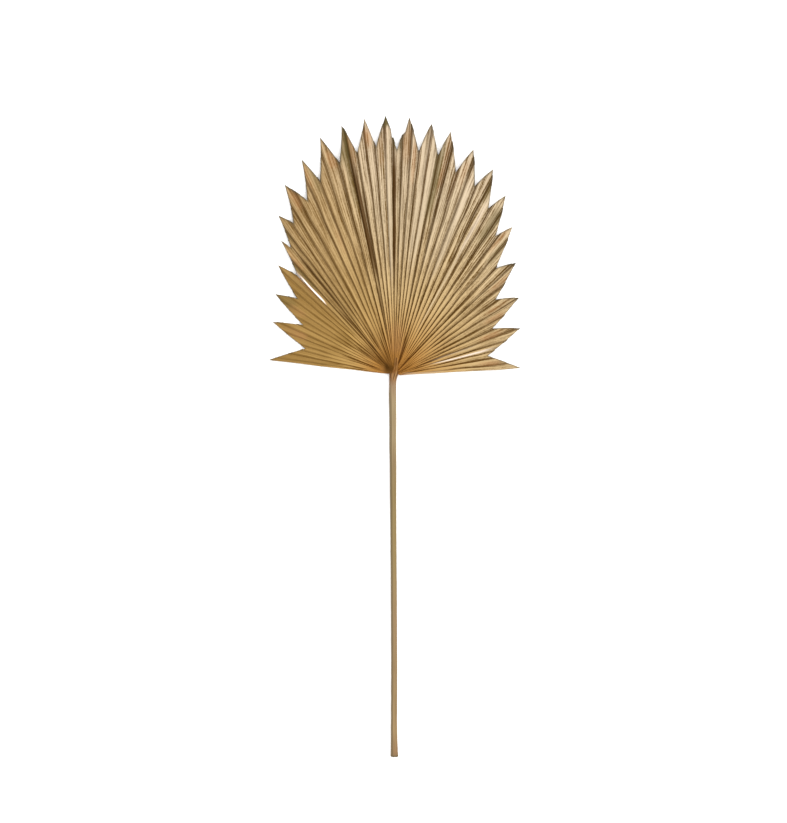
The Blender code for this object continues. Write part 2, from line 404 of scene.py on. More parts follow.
@dataclass(frozen=True)
class StrawFinish:
    """The fan's dry straw: brown at the hub, gold and then pale towards the edge, with fine fibres."""

    # The dark and the light of the straw. Each stop is (reach as a share of the longest, colour).
    dark: tuple[tuple[float, Colour], ...] = (
        (0.0, (0.05, 0.013, 0.001)), (0.10, (0.07, 0.024, 0.001)), (0.30, (0.09, 0.042, 0.005)),
        (0.62, (0.098, 0.051, 0.01)), (1.0, (0.106, 0.061, 0.02)),
    )
    # The tone mixes dark and light both for the grain and for the painted light and shade across the pleats.
    light: tuple[tuple[float, Colour], ...] = (
        (0.0, (0.248, 0.1, 0.014)), (0.08, (0.314, 0.15, 0.034)), (0.17, (0.362, 0.214, 0.073)),
        (0.30, (0.408, 0.283, 0.13)), (0.62, (0.431, 0.33, 0.198)), (1.0, (0.449, 0.354, 0.248)),
    )
    gold_dark: Colour = (0.106, 0.05, 0.006)
    gold_light: Colour = (0.302, 0.183, 0.054)
    # Painted shade in the valleys and deep folds, partly browner straw.
    crease: Colour = (0.05, 0.02, 0.002)
    # Painted light on faces and ridges that turn to the light, partly paler straw.
    cream_and_highlight: Colour = (0.449, 0.361, 0.246)
    rust: Colour = (0.314, 0.154, 0.062)
    # Olive, partly painted shade on faces that turn from the light.
    olive: Colour = (0.1, 0.074, 0.024)
    edge_grey: Colour = (0.059, 0.049, 0.03)
    # White for pale ridges, and painted light along the split's right side.
    white_and_painted_light: Colour = (0.93, 0.79, 0.7)

    fibre: FibreLayer = FibreLayer(2.4, 5.0, 0.0, 3.0, (0.34, 0.66), (-0.22, 0.20))
    vein: FibreLayer = FibreLayer(4.4, 5.0, 5.0, 0.0, (0.36, 0.64), (-0.20, 0.20))
    thread: FibreLayer = FibreLayer(7.6, 17.6, 2.4, 1.0, (0.36, 0.64), (-0.20, 0.20))
    fleck: FibreLayer = FibreLayer(4.4, 136.0, 5.6, 1.0, (0.36, 0.64), (-0.14, 0.14))
    bundle: FibreLayer = FibreLayer(0.416, 1.6, 8.8, 1.0, (0.43, 0.57), (-0.85, 1.05))
    knot: FibreLayer = FibreLayer(0.248, 4.8, 10.4, 1.0, (0.42, 0.58), (-0.85, 1.3))
    # Even, fine veins side by side, a little out of step from place to place.
    veins_per_strip: float = 17.5
    vein_wander: float = 9.0
    vein_tone: float = 0.42
    # Each range of reaches is a share of the longest: where the veins come in, and where the rest dies away.
    veins_start: Pair = (0.30, 0.60)
    bundle_ends: Pair = (0.10, 0.28)
    knot_ends: Pair = (0.08, 0.22)
    pleat_shading_ends: Pair = (0.08, 0.42)
    pleat_shading_far_share: float = 0.20
    # A painted highlight just right of each ridge, partly the pale rib.
    ridge_highlight_and_rib: float = 0.30
    middle_tone: float = 0.48
    cloud_scale: float = 38.0
    bump_depth: float = 0.35
    bump_strength: float = 0.7

    def tone(
        self, nodes: NodeTree, strip: Socket, reach: Socket, fold: Socket
    ) -> tuple[Socket, Socket, Socket]:
        """Builds how light the straw is, from its grain and from painted light and shade across the pleats.

        Args:
            nodes: The material's nodes.
            strip: The place across the strips.
            reach: The reach as a share of the longest.
            fold: The painted light and shade by the place on the pleat.

        Returns:
            The tone from 0 to 1, and the noise of the fibres and of the threads.
        """
        lively = nodes.attribute("lively")
        layers = (self.vein, self.fibre, self.thread, self.fleck)
        noises = [layer.noise(nodes, strip, reach) for layer in layers]
        vein, fibre, thread, _ = noises
        step = nodes.plus(nodes.times(strip, self.veins_per_strip), nodes.times(vein, self.vein_wander))
        vein_share = nodes.remap(reach, *self.veins_start, 0.0, self.vein_tone)
        grain = nodes.times(nodes.math("SINE", step), vein_share)
        for layer, noise in zip(layers, noises):
            grain = nodes.plus(grain, layer.tone(nodes, noise))
        tone = nodes.plus(nodes.times(grain, lively), nodes.attribute("tone"))
        for layer, ends in ((self.bundle, self.bundle_ends), (self.knot, self.knot_ends)):
            change = layer.tone(nodes, layer.noise(nodes, strip, reach))
            tone = nodes.plus(tone, nodes.times(change, nodes.remap(reach, *ends, 1.0, 0.0)))
        # Painted light and shade across each pleat, strongest near the hub.
        near_hub = nodes.remap(reach, *self.pleat_shading_ends, 1.0, self.pleat_shading_far_share)
        pleat_light_and_shade = nodes.times(nodes.remap(fold, 0.1, 0.9, -1.0, 1.0), near_hub)
        pleat_light_and_shade = nodes.plus(pleat_light_and_shade, nodes.remap(fold, 0.9, 1.0, 0.0, self.ridge_highlight_and_rib))
        tone = nodes.plus(tone, nodes.times(pleat_light_and_shade, lively))
        return nodes.plus(tone, self.middle_tone, clamp=True), fibre, thread

    def material(self) -> Material:
        """Builds the finish from the fan's attributes and noise that runs along its strips."""
        nodes = NodeTree("straw_fan")
        strip, reach, fold = (nodes.attribute(name) for name in ("strip", "reach", "fold"))
        tone, fibre, thread = self.tone(nodes, strip, reach, fold)
        base = nodes.mix(tone, nodes.ramp(reach, self.dark), nodes.ramp(reach, self.light))
        gold = nodes.mix(tone, self.gold_dark, self.gold_light)
        base = nodes.mix(nodes.attribute("gold"), base, gold)

        # Cloudy patches of olive, partly painted shade, and of rust.
        cloud = nodes.noise(nodes.object_point(), self.cloud_scale, 4.0)
        olive = nodes.times(nodes.attribute("olive"), nodes.remap(cloud, 0.3, 0.7, 0.7, 1.0))
        base = nodes.mix(olive, base, self.olive)
        rust = nodes.times(nodes.attribute("rust"), nodes.remap(cloud, 0.35, 0.6, 0.35, 1.0))
        base = nodes.mix(rust, base, self.rust)
        # Valley lines and streaks of painted shade and light, partly darker and paler straw; the browned rim;
        # white edges.
        valley = nodes.times(nodes.remap(fold, 0.02, 0.31, 1.0, 0.0), nodes.attribute("line"))
        base = nodes.mix(valley, base, self.crease)
        shade = nodes.attribute("shade")
        base = nodes.mix(nodes.times(shade, 0.8, clamp=True), base, self.cream_and_highlight)
        base = nodes.mix(nodes.times(shade, -0.9, clamp=True), base, self.crease)
        base = nodes.mix(nodes.attribute("rim"), base, self.edge_grey)
        base = nodes.mix(nodes.attribute("white"), base, self.white_and_painted_light)
        roughness = nodes.remap(fibre, 0.2, 0.8, 0.62, 0.44)
        nodes.feed_shader(Base_Color=base, Roughness=roughness, Specular_IOR_Level=0.03)
        nodes.bump(nodes.plus(fibre, nodes.times(thread, 0.8)), self.bump_depth, self.bump_strength)
        return nodes.material


@dataclass(frozen=True)
class StalkFinish:
    """The stalk's smooth, dry skin with long fibres: tan, then olive, then reddish towards the cut."""

    name: str = "stalk_skin"
    # Each stop is (share of the way from the hub down to the cut, colour).
    skin: tuple[tuple[float, Colour], ...] = (
        (0.0, (0.202, 0.112, 0.053)), (0.035, (0.213, 0.136, 0.071)), (0.08, (0.234, 0.173, 0.089)),
        (0.18, (0.23, 0.17, 0.086)), (0.23, (0.191, 0.134, 0.063)), (0.31, (0.172, 0.12, 0.044)),
        (0.50, (0.192, 0.135, 0.052)), (0.64, (0.201, 0.13, 0.062)), (0.82, (0.206, 0.136, 0.062)),
        (0.93, (0.241, 0.158, 0.071)), (1.0, (0.178, 0.098, 0.042)),
    )
    # Painted shade on the stalk's left side, also the darker end by the cut.
    shaded: Colour = (0.106, 0.075, 0.032)
    streak_dark: Colour = (0.13, 0.083, 0.032)
    brown: Colour = (0.077, 0.032, 0.009)
    hub: Colour = (0.22, 0.096, 0.019)
    hub_dark: Colour = (0.094, 0.032, 0.005)
    hub_light: Colour = (0.308, 0.17, 0.061)
    pith: Colour = (0.354, 0.271, 0.166)
    # Cells to the metre, few of them along the stalk.
    streak_cells: Point = (900.0, 14.0, 900.0)
    hair_cells: Point = (2600.0, 30.0, 2600.0)
    pith_scale: float = 1900.0
    # The sheen on the stalk and at the hub.
    sheen: Pair = (0.2, 0.03)
    bump_depth: float = 0.2
    bump_strength: float = 0.5

    def material(self) -> Material:
        """Builds the finish from noise stretched along the stalk and the stalk's own attributes."""
        nodes = NodeTree(self.name)
        point = nodes.object_point()
        streak = nodes.noise(nodes.stretched(point, self.streak_cells), 1.0, 4.0, 0.6)
        hair = nodes.noise(nodes.stretched(point, self.hair_cells), 1.0, 2.0)
        base = nodes.ramp(nodes.attribute("down"), self.skin)
        base = nodes.mix(nodes.remap(streak, 0.50, 0.68, 0.0, 0.55), base, self.streak_dark)
        base = nodes.mix(nodes.remap(hair, 0.55, 0.75, 0.0, 0.45), base, self.brown)
        # Painted shade on the left side, and the darker end by the cut.
        base = nodes.mix(nodes.attribute("shaded"), base, self.shaded)
        hub = nodes.mix(nodes.remap(streak, 0.36, 0.66, 0.0, 1.0), self.hub_dark, self.hub)
        base = nodes.mix(nodes.attribute("hub"), base, hub)
        # Lighter and darker strips: partly painted highlight and painted shade on ribs, grooves and the
        # swelling's sides.
        base = nodes.mix(nodes.attribute("bright"), base, self.hub_light)
        base = nodes.mix(nodes.attribute("groove"), base, self.brown)
        pores = nodes.remap(nodes.noise(point, self.pith_scale, 2.0), 0.44, 0.58, 0.0, 1.0)
        base = nodes.mix(nodes.attribute("cut"), base, nodes.mix(pores, self.pith, self.brown))
        roughness = nodes.remap(streak, 0.2, 0.8, 0.62, 0.42)
        sheen = nodes.remap(nodes.attribute("hub"), 0.0, 1.0, *self.sheen)
        nodes.feed_shader(Base_Color=base, Roughness=roughness, Specular_IOR_Level=sheen)
        nodes.bump(nodes.plus(streak, nodes.times(hair, 0.6)), self.bump_depth, self.bump_strength)
        return nodes.material


@dataclass(frozen=True)
class FloorFinish:
    """The plain pale floor."""

    colour: Colour = (0.95, 0.95, 0.95)

    def material(self) -> Material:
        """Builds the floor's finish."""
        nodes = NodeTree("pale_floor")
        nodes.feed_shader(Base_Color=self.colour, Roughness=0.9, Specular_IOR_Level=0.1)
        return nodes.material


def mesh_object(
    name: str, points: Array, faces: list[tuple[int, ...]], attributes: dict[str, Array]
) -> bpy.types.Object:
    """Makes a mesh object of the leaf.

    Args:
        name: The object's name.
        points: Its points in millimetres.
        faces: Its faces, as indices of its points.
        attributes: A value for each point, by the attribute's name.

    Returns:
        The object, linked to the scene and smoothly shaded.
    """
    mesh = bpy.data.meshes.new(name)
    mesh.from_pydata((points * MM).tolist(), [], faces)
    for key, values in attributes.items():
        layer = mesh.attributes.new(key, "FLOAT", "POINT")
        layer.data.foreach_set("value", np.asarray(values, np.float32).ravel())
    mesh.update()
    mesh.shade_smooth()
    made = bpy.data.objects.new(name, mesh)
    bpy.context.scene.collection.objects.link(made)
    return made


def closed_faces(rings: int, sides: int) -> list[tuple[int, ...]]:
    """The faces of a closed form, made of rings of points and then one point for each end.

    Args:
        rings: How many rings there are.
        sides: How many points a ring has. Seen from the first ring's end, they turn anticlockwise.

    Returns:
        The faces, turned outwards.
    """
    faces: list[tuple[int, ...]] = []
    first, last, last_ring = rings * sides, rings * sides + 1, (rings - 1) * sides
    for step in range(sides):
        following = (step + 1) % sides
        for here in range(0, last_ring, sides):
            there = here + sides
            faces.append((here + step, there + step, there + following, here + following))
        faces.append((first, step, following))
        faces.append((last, last_ring + following, last_ring + step))
    return faces


def dress(piece: bpy.types.Object, material: Material) -> None:
    """Gives a piece its finish and ties it to the leaf's solid."""
    piece.data.materials.append(material)
    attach(piece, LEAF_BODY)
    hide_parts(LEAF_NODE)
    LOG.info("%s: %d points", piece.name, len(piece.data.vertices))


TEETH = (
    Tooth(-84.6, 118, 12, 2), Tooth(-67.6, 123, 10, -2), Tooth(-56.8, 133, 10, 0), Tooth(-47.4, 148, 12, -3),
    Tooth(-40.7, 162, 26, -6), Tooth(-36.5, 182, 26, -4), Tooth(-30.3, 203, 21, 0), Tooth(-23.5, 217, 20, 0),
    Tooth(-17.5, 230, 20, 3), Tooth(-12.0, 236, 36, -14), Tooth(-6.7, 239, 26, 6), Tooth(-1.9, 240, 34, 4),
    Tooth(3.5, 239, 38, 0), Tooth(8.6, 235, 28, 8), Tooth(13.3, 231, 38, -10), Tooth(19.7, 221, 36, 3),
    Tooth(26.1, 211, 32, 8), Tooth(32.4, 195, 34, -5), Tooth(39.3, 175, 34, -2), Tooth(48.1, 153, 36, 2),
    Tooth(59.2, 136, 36, 0), Tooth(70.9, 125, 30, -3), Tooth(88.4, 119, 24, 0),
)
NOTCHES = (
    (-75.2, 86), (-62.7, 96), (-52.8, 114), (-45.0, 129), (-39.8, 151), (-34.0, 168), (-26.8, 180),
    (-21.2, 192), (-14.6, 202), (-9.6, 208), (-4.6, 211), (0.8, 208), (6.4, 208), (11.5, 207), (17.2, 196),
    (23.5, 190), (30.0, 177), (36.8, 159), (44.5, 136), (54.5, 117), (66.2, 101), (80.2, 89),
)
# Steps in the sides of two teeth, by direction and reach.
STEPS = ((-0.75, 227.5), (-0.5, 220), (-0.2, 219.5), (0.4, 211), (1.9, 222), (2.75, 224.5))
PLEAT_RUNS = (
    PleatRun(-73.9, 4), PleatRun(-70.2, 1), PleatRun(-48.2, 7), PleatRun(-45.7, 1), PleatRun(-43.0, 1),
    PleatRun(-39.4, 1), PleatRun(-37.6, 1), PleatRun(-29.4, 3), PleatRun(-25.0, 1), PleatRun(-21.6, 1),
    PleatRun(-18.8, 1), PleatRun(-11.8, 2), PleatRun(-9.8, 1), PleatRun(-5.1, 2), PleatRun(-2.5, 1),
    PleatRun(-0.5, 1), PleatRun(8.5, 4), PleatRun(14.1, 2), PleatRun(26.6, 4), PleatRun(40.5, 4),
    PleatRun(51.1, 3), PleatRun(70.1, 5), PleatRun(89.1, 5),
)
# Each row is a streak's angle, half width, inner reach, outer reach and strength, then its lean and its fade
# if it has them.
STREAK_ROWS = {
    Paint.SHADE: (
        # Painted shade in deep folds whose steep faces turn from the light, and darker patches near the hub.
        (-39.3, 0.9, 62, 150, -0.8), (-41.4, 0.7, 50, 110, -0.5), (-40.6, 1.7, 10, 82, -0.7),
        (-37.4, 0.5, 40, 130, -0.5, 0.6), (-35.0, 0.5, 30, 100, -0.4, 0.6), (-24.9, 0.5, 60, 190, -0.3),
        (-21.4, 0.5, 60, 190, -0.35), (-11.5, 1.0, 70, 226, -1.0, 0.8), (-9.7, 0.6, 70, 190, -0.7),
        (-10.6, 1.1, 24, 90, -0.8), (0.1, 0.8, 66, 226, -1.0), (11.5, 0.7, 60, 150, -0.4),
        (14.3, 0.4, 90, 205, -0.4), (-68.0, 2.0, 8, 34, -0.4), (-50.0, 15.0, 3, 46, -0.5, 0.0, 0.4),
        (-25.0, 13.0, 3, 56, -0.34, 0.0, 0.4), (22.0, 2.0, 8, 36, -0.2),
        # Painted light on faces and ridges that turn to the light, partly paler straw.
        (-8.4, 1.2, 90, 222, 0.1), (-6.0, 1.0, 110, 222, 0.3), (-3.8, 0.8, 90, 190, 0.3),
        (-1.5, 0.9, 70, 226, 0.75), (3.0, 0.9, 90, 215, 0.35), (5.3, 0.9, 90, 200, 0.3),
        (7.9, 1.0, 80, 250, 0.65), (10.2, 1.0, 80, 240, 0.75), (15.9, 1.1, 90, 200, 0.4),
        (19.0, 1.2, 80, 210, 0.35), (20.6, 0.6, 100, 210, 0.35), (22.2, 1.2, 80, 205, 0.62),
        (28.6, 0.8, 30, 196, 0.5, 1.0), (76.4, 0.9, 30, 104, 1.1, 2.0), (72.2, 1.0, 30, 90, 0.35, 1.0),
        (60.4, 0.9, 50, 112, 0.08, 1.0), (93.0, 7.0, 4, 52, 0.5, 6.0),
    ),
    Paint.TONE: (
        # Slightly paler and darker stretches.
        (35.6, 1.4, 80, 175, -0.25), (-17.2, 1.8, 90, 215, 0.25), (-1.0, 12.0, 95, 190, -0.09, 0.0, 0.4),
        (66.0, 24.0, 40, 130, -0.1), (66.0, 24.0, 8, 52, 0.12, 0.0, 0.4), (-65.0, 1.4, 50, 110, 0.25),
        (62.6, 0.6, 60, 110, 0.2),
    ),
    Paint.WHITE: (
        # Nearly white ridges and faces.
        (76.4, 0.55, 34, 98, 0.5, 2.0), (28.8, 0.7, 120, 192, 0.12), (22.1, 0.9, 140, 205, 0.06),
    ),
    Paint.OLIVE: (
        # Olive and grey-brown faces, partly painted shade on faces that turn from the light.
        (-22.3, 0.8, 176, 214, 0.45), (-12.9, 1.9, 192, 262, 0.75), (-12.4, 1.2, 150, 215, 0.5),
        (-11.2, 1.0, 198, 238, 0.55), (12.1, 1.3, 135, 236, 0.85), (-1.9, 2.2, 229.5, 252, 1.25, 0.0, 0.05),
        (0.2, 0.8, 205, 236, 0.9), (1.6, 0.5, 205, 226, 0.6), (27.5, 1.0, 176, 208, 0.6),
        (33.4, 2.0, 140, 190, 0.6), (41.0, 1.4, 130, 166, 0.4), (-57.0, 3.0, 106, 138, 0.5),
        (-44.0, 2.0, 96, 150, 0.45), (-38.6, 1.6, 150, 190, 0.4), (-3.4, 0.8, 185, 228, 0.45),
        (3.4, 1.2, 200, 244, 0.3),
    ),
    Paint.RUST: (
        # Rust, orange and pink patches.
        (-10.9, 0.9, 190, 232, 0.35), (-6.4, 1.1, 208, 232, 0.6), (-3.4, 0.8, 190, 228, 0.5),
        (3.3, 1.2, 190, 244, 0.3), (5.4, 0.6, 170, 225, 0.5), (13.7, 0.8, 170, 236, 0.6),
        (17.6, 0.7, 160, 214, 0.2), (19.4, 0.8, 180, 212, 0.25), (-16.4, 1.3, 196, 218, 0.5),
        (-24.2, 0.9, 186, 214, 0.3), (-29.6, 1.4, 172, 198, 0.45), (-33.6, 1.2, 176, 190, 0.3),
        (-22.2, 1.0, 118, 150, 0.3), (-45.4, 1.0, 100, 132, 0.5), (-41.6, 1.2, 126, 156, 0.5),
        (-57.8, 1.8, 96, 118, 0.4), (-68.6, 2.4, 84, 112, 0.4), (38.6, 0.8, 140, 172, 0.4),
        (50.0, 1.2, 112, 148, 0.5), (58.0, 1.0, 98, 130, 0.45), (61.8, 1.4, 92, 120, 0.5),
        (69.6, 1.6, 82, 112, 0.5), (85.0, 1.6, 76, 104, 0.5),
    ),
}
STREAKS = tuple(Streak(paint, *row) for paint, rows in STREAK_ROWS.items() for row in rows)
# The shade spots are painted shade left of the hub, beside the stalk's top.
SPOTS = (
    Spot(Paint.SHADE, -4.5, 2.5, 7.5, -0.9), Spot(Paint.SHADE, -8.0, 10.0, 11.0, -0.4),
    Spot(Paint.TONE, -6.0, 12.0, 32.0, -0.26), Spot(Paint.TONE, 5.0, 5.0, 14.0, -0.12),
    Spot(Paint.RUST, -7.0, 1.0, 7.0, 0.45), Spot(Paint.RUST, 2.0, 24.0, 10.0, 0.35),
    Spot(Paint.RUST, 2.5, 38.0, 12.0, 0.3),
)


@dataclass(frozen=True)
class FanGrid:
    """The fan's mesh in plan: its columns' values, its rows' shares of the way out and its places."""

    columns: dict[str, Array]
    share: Array
    plan: Array

    @property
    def reach(self) -> Array:
        """The places' distances from the hub."""
        return np.linalg.norm(self.plan, axis=-1)

    @property
    def angle(self) -> Array:
        """The places' directions from the hub."""
        return np.degrees(np.arctan2(self.plan[..., 0], self.plan[..., 1]))

    def column(self, name: str) -> Array:
        """One of the columns' values, laid out by column and row."""
        return self.columns[name][:, None]


@dataclass
class Fan:
    """The pleated blade: one folded sheet, wide at the top, with a toothed edge and a narrow split."""

    # The values that each column takes from its tooth.
    TOOTH_VALUES: ClassVar[tuple[str, ...]] = ("tip_angle", "tip_reach", "slope", "twist", "lift")

    finish: StrawFinish
    teeth: tuple[Tooth, ...] = TEETH
    notches: tuple[Pair, ...] = NOTCHES
    edge_steps: tuple[Pair, ...] = STEPS
    pleat_runs: tuple[PleatRun, ...] = PLEAT_RUNS
    first_valley: float = -86.5
    # A pleat's narrow face turns from the light, and takes this share of its width.
    narrow_share: float = 0.31
    # Painted light and shade across a pleat: 0 and 2 are valleys, and 1 is the ridge.
    pleat_shading_places: Numbers = (0.0, 0.45, 0.8, 1.12, 1.5, 2.0)
    pleat_shading_values: Numbers = (0.40, 0.0, 0.36, 1.0, 0.80, 0.55)
    side_points: int = 8
    least_gap: float = 0.09
    streaks: tuple[Streak, ...] = STREAKS
    spots: tuple[Spot, ...] = SPOTS
    tooth_bulge: float = 0.35
    tooth_hollow: float = -0.7
    hollow_from: float = -45.0
    hollow_to: float = -5.0
    thickness: float = 0.55
    least_clearance: float = 0.06
    root_reach: float = 5.5
    root_centre: Pair = (0.3, -1.3)
    root_spread: float = 1.18
    root_turn: float = 4.0
    # The mesh's rows: shares of the way from the hub's middle to the root, then from there to the edge.
    inner_rows: Numbers = (0.1, 0.35, 0.65, 0.85)
    even_rows: int = 28
    edge_rows: Numbers = (
        0.82, 0.84, 0.86, 0.88, 0.9, 0.918, 0.936, 0.953, 0.968, 0.98, 0.989, 0.995, 1.0
    )
    # The places of the mesh's columns in each strip, as shares of the way from a valley to a ridge.
    strip_shares: Numbers = (0.0, 0.08, 0.2, 0.35, 0.5, 0.66, 0.82, 0.93)
    most_pleat_height: float = 5.0
    pleats_start: float = 3.0
    pleats_full: float = 14.0
    roundness: float = 0.45
    rib_height: float = 0.2
    crease_depth: float = 0.35
    relief_starts: Pair = (15.0, 80.0)
    gather_height: float = 2.3
    gather_reach: float = 9.0
    hub_lift: float = 2.6
    hub_lift_ends: float = 70.0
    wave_lift: float = 1.6
    wave_angle: float = 60.0
    wave_starts: float = 45.0
    wave_ends: float = 110.0
    tip_curl: float = 5.0
    curl_starts: float = 0.55
    # The split lies in the notch between the fourth tooth and the fifth.
    split_notch: int = 3
    split_share: float = 0.69
    split_half_width: float = 0.5
    longest_reach: float = 240.0
    # The unevenness of growth, each kind with a seed of its own.
    wander: SmoothNoise = SmoothNoise(11, 0.16, (0.9, 7.0))
    uneven_rise: SmoothNoise = SmoothNoise(5, 0.18, (1.7, 2.5))
    fibre_relief: SmoothNoise = SmoothNoise(17, 0.09, (1.0, 3.0))
    slow_waves: SmoothNoise = SmoothNoise(23, 0.5, (1 / 9, 5.0))
    edge_waves: SmoothNoise = SmoothNoise(31, 0.6, (0.5, 9.0))
    face_tone: SmoothNoise = SmoothNoise(41, 0.16, (1.31, 1.6))
    line_strength: SmoothNoise = SmoothNoise(43, 0.18, (1.9, 2.0))
    rim_patches: SmoothNoise = SmoothNoise(47, 0.35, (1 / 3, 9.0))
    # Where the fan's left and lower parts, and the painted light on its right, fade in or out, by direction.
    left_side: Pair = (-22.0, -4.0)
    lower_left: Pair = (-50.0, -41.0)
    lower_right: Pair = (42.0, 54.0)
    painted_light_right_side: Pair = (-25.0, 50.0)
    # Where each kind of colour comes in, by reach.
    faces_start: Pair = (20.0, 90.0)
    gold_starts: Pair = (14.0, 60.0)
    calm_starts: Pair = (24.0, 60.0)
    # How brown the trimmed edge and the teeth's tips are, and how far in from a tip the brown goes.
    rim_share: float = 0.75
    tip_share: float = 0.85
    tip_length: float = 6.5

    def tooth_side(self, start: Array, end: Array, steps: int, bow: float) -> list[Array]:
        """Points along one side of a tooth.

        Args:
            start: The side's first point.
            end: The side's last point, which is left out.
            steps: How many equal steps there are.
            bow: How far the side bows out in its middle.

        Returns:
            The points from start on.
        """
        along = end - start
        outward = np.array([-along[1], along[0]]) / np.linalg.norm(along)
        if outward @ (start + end) < 0:
            outward = -outward
        shares = [step / steps for step in range(steps)]
        return [start + along * s + outward * bow * 4 * s * (1 - s) for s in shares]

    def edge(self) -> tuple[Array, Array]:
        """Traces the fan's trimmed edge from the first tooth's tip to the last one's.

        Returns:
            The directions of its corners, and the points along it as (direction, reach) rows.
        """
        tips = {tooth.tip_angle: tooth.tip_reach for tooth in self.teeth}
        corners = sorted([*tips.items(), *self.notches, *self.edge_steps])
        steps = {angle for angle, _ in self.edge_steps}
        points: list[Array] = []
        for start, end in zip(corners, corners[1:]):
            is_hollow = end[0] in tips and self.hollow_from < end[0] < self.hollow_to
            bow = self.tooth_hollow if is_hollow else self.tooth_bulge
            if start[0] in steps or end[0] in steps:
                bow = 0.0
            points += self.tooth_side(on_fan(*start), on_fan(*end), self.side_points, bow)
        points.append(on_fan(*corners[-1]))
        across, along = np.array(points).T
        polar = np.stack([np.degrees(np.arctan2(across, along)), np.hypot(across, along)], axis=-1)
        return np.array([angle for angle, _ in corners]), polar

    def fold_angles(self) -> Array:
        """The directions of the fold lines from left to right: even ones are valleys and odd ones ridges."""
        valleys = [self.first_valley]
        for run in self.pleat_runs:
            valleys += np.linspace(valleys[-1], run.end_angle, run.pleats + 1)[1:].tolist()
        lines = []
        for here, there in zip(valleys, valleys[1:]):
            lines += [here, here + (there - here) * self.narrow_share]
        return np.array([*lines, valleys[-1]])

    def tooth_values(self, angle: Array) -> dict[str, Array]:
        """The teeth's values at directions from the hub: level over each tooth and blended at the notches."""
        notches = [notch for notch, _ in self.notches]
        cuts = np.array([self.teeth[0].tip_angle, *notches, self.teeth[-1].tip_angle])
        blend = np.diff(cuts) / 5
        places = np.stack([cuts[:-1] + blend, cuts[1:] - blend], axis=-1).ravel()
        return {
            name: np.interp(angle, places, np.repeat([getattr(tooth, name) for tooth in self.teeth], 2))
            for name in self.TOOTH_VALUES
        }

    def strip_places(self, last: int) -> Array:
        """The mesh's columns, measured in fold lines from the left, closer together at folds."""
        shares = np.array(self.strip_shares)
        rising = [line + shares for line in range(0, last, 2)]
        falling = [line + 1 + np.append(0.0, 1 - shares[:0:-1]) for line in range(0, last, 2)]
        pairs = [part for pair in zip(rising, falling) for part in pair]
        return np.append(np.concatenate(pairs), float(last))

    def valley_lift(self, reach: Array, angle: Array, tip_reach: Array) -> Array:
        """How high the valleys lie above the floor.

        Args:
            reach: The places' distances from the hub.
            angle: The places' directions from the hub.
            tip_reach: The reach of the nearest tooth's tip.

        Returns:
            The height of the sheet's underside.
        """
        at_hub = self.hub_lift * (1 - smooth_step(self.root_reach, self.hub_lift_ends, reach))
        swell = 0.5 - 0.5 * np.cos(2 * np.pi * angle / self.wave_angle)
        wave = self.wave_lift * swell * smooth_step(self.wave_starts, self.wave_ends, reach)
        past = np.maximum(reach / tip_reach - self.curl_starts, 0.0) / (1 - self.curl_starts)
        return at_hub + wave + self.tip_curl * past**2

    def profile(self, share: Array) -> Array:
        """A pleat's height, as a share of the whole, at a share of the way from its valley to its ridge."""
        return (1 - self.roundness) * share + self.roundness * np.sin(np.pi * share / 2)

    def row_shares(self) -> Array:
        """The rows from the hub's middle out: below 0 inside the root, then from 0 to 1 at the edge."""
        inner = np.array(self.inner_rows) - 1.0
        even = np.linspace(0.0, self.edge_rows[0], self.even_rows, endpoint=False)
        return np.concatenate([inner, even, self.edge_rows])[None, :]

    def column_values(self) -> dict[str, Array]:
        """Lays out the mesh's columns: close together at the folds, with one at each corner of the edge.

        Returns:
            Each column's direction, its place among the fold lines, its end, its tooth's values, half its
            pleat's width in radians, the split's place, and on which side of the split it lies (-1 or 1).
        """
        corners, edge = self.edge()
        folds = self.fold_angles()
        numbers = np.arange(len(folds))
        angles = np.interp(self.strip_places(numbers[-1]), numbers, folds)
        is_clear = np.abs(angles[:, None] - corners).min(axis=1) > self.least_gap
        is_inside = (angles > corners[0]) & (angles < corners[-1])
        angles = np.sort(np.concatenate([angles[is_clear & is_inside], corners]))
        split_angle = self.notches[self.split_notch][0]
        split_column = int(np.searchsorted(angles, split_angle))
        angles = np.insert(angles, split_column, split_angle)
        columns = self.tooth_values(angles)
        columns["angle"] = angles
        columns["place"] = np.interp(angles, folds, numbers)
        columns["end"] = on_fan(angles, np.interp(angles, edge[:, 0], edge[:, 1]))
        half_widths = np.radians(np.diff(folds[::2])) / 2
        columns["width"] = np.interp(columns["place"], numbers[1::2], half_widths)
        columns["side"] = np.where(np.arange(len(angles)) <= split_column, -1.0, 1.0)
        columns["split_line"] = np.full(len(angles), columns["place"][split_column])
        return columns

    def plan(self, columns: dict[str, Array], share: Array) -> Array:
        """Places the columns and rows in plan.

        Args:
            columns: The columns' values.
            share: The rows' shares.

        Returns:
            The places by column and row.
        """
        middle = np.array(self.root_centre)
        root = on_fan(columns["angle"] * self.root_spread + self.root_turn, self.root_reach)[:, None, :]
        outward = np.maximum(share, 0.0)[..., None]
        inward = np.minimum(share, 0.0)[..., None]
        places = middle + root * (1 + inward)
        places = places * (1 - outward) + columns["end"][:, None, :] * outward
        sideways = on_fan(columns["angle"] + 90.0, 1.0)[:, None, :]
        width = columns["width"][:, None] * np.linalg.norm(places, axis=-1)
        wander = self.wander.at(columns["place"][:, None], share) * width
        wander = wander * smooth_step(0.0, 0.2, share) * (1 - smooth_step(0.8, 0.97, share))
        opening = smooth_step(self.split_share, 1.0, share) * self.split_half_width
        near = np.clip(1 - np.abs(columns["place"] - columns["split_line"]) / 2, 0.0, 1.0)
        pull = (columns["side"] * near)[:, None] * opening
        return places + sideways * (wander + pull)[..., None]

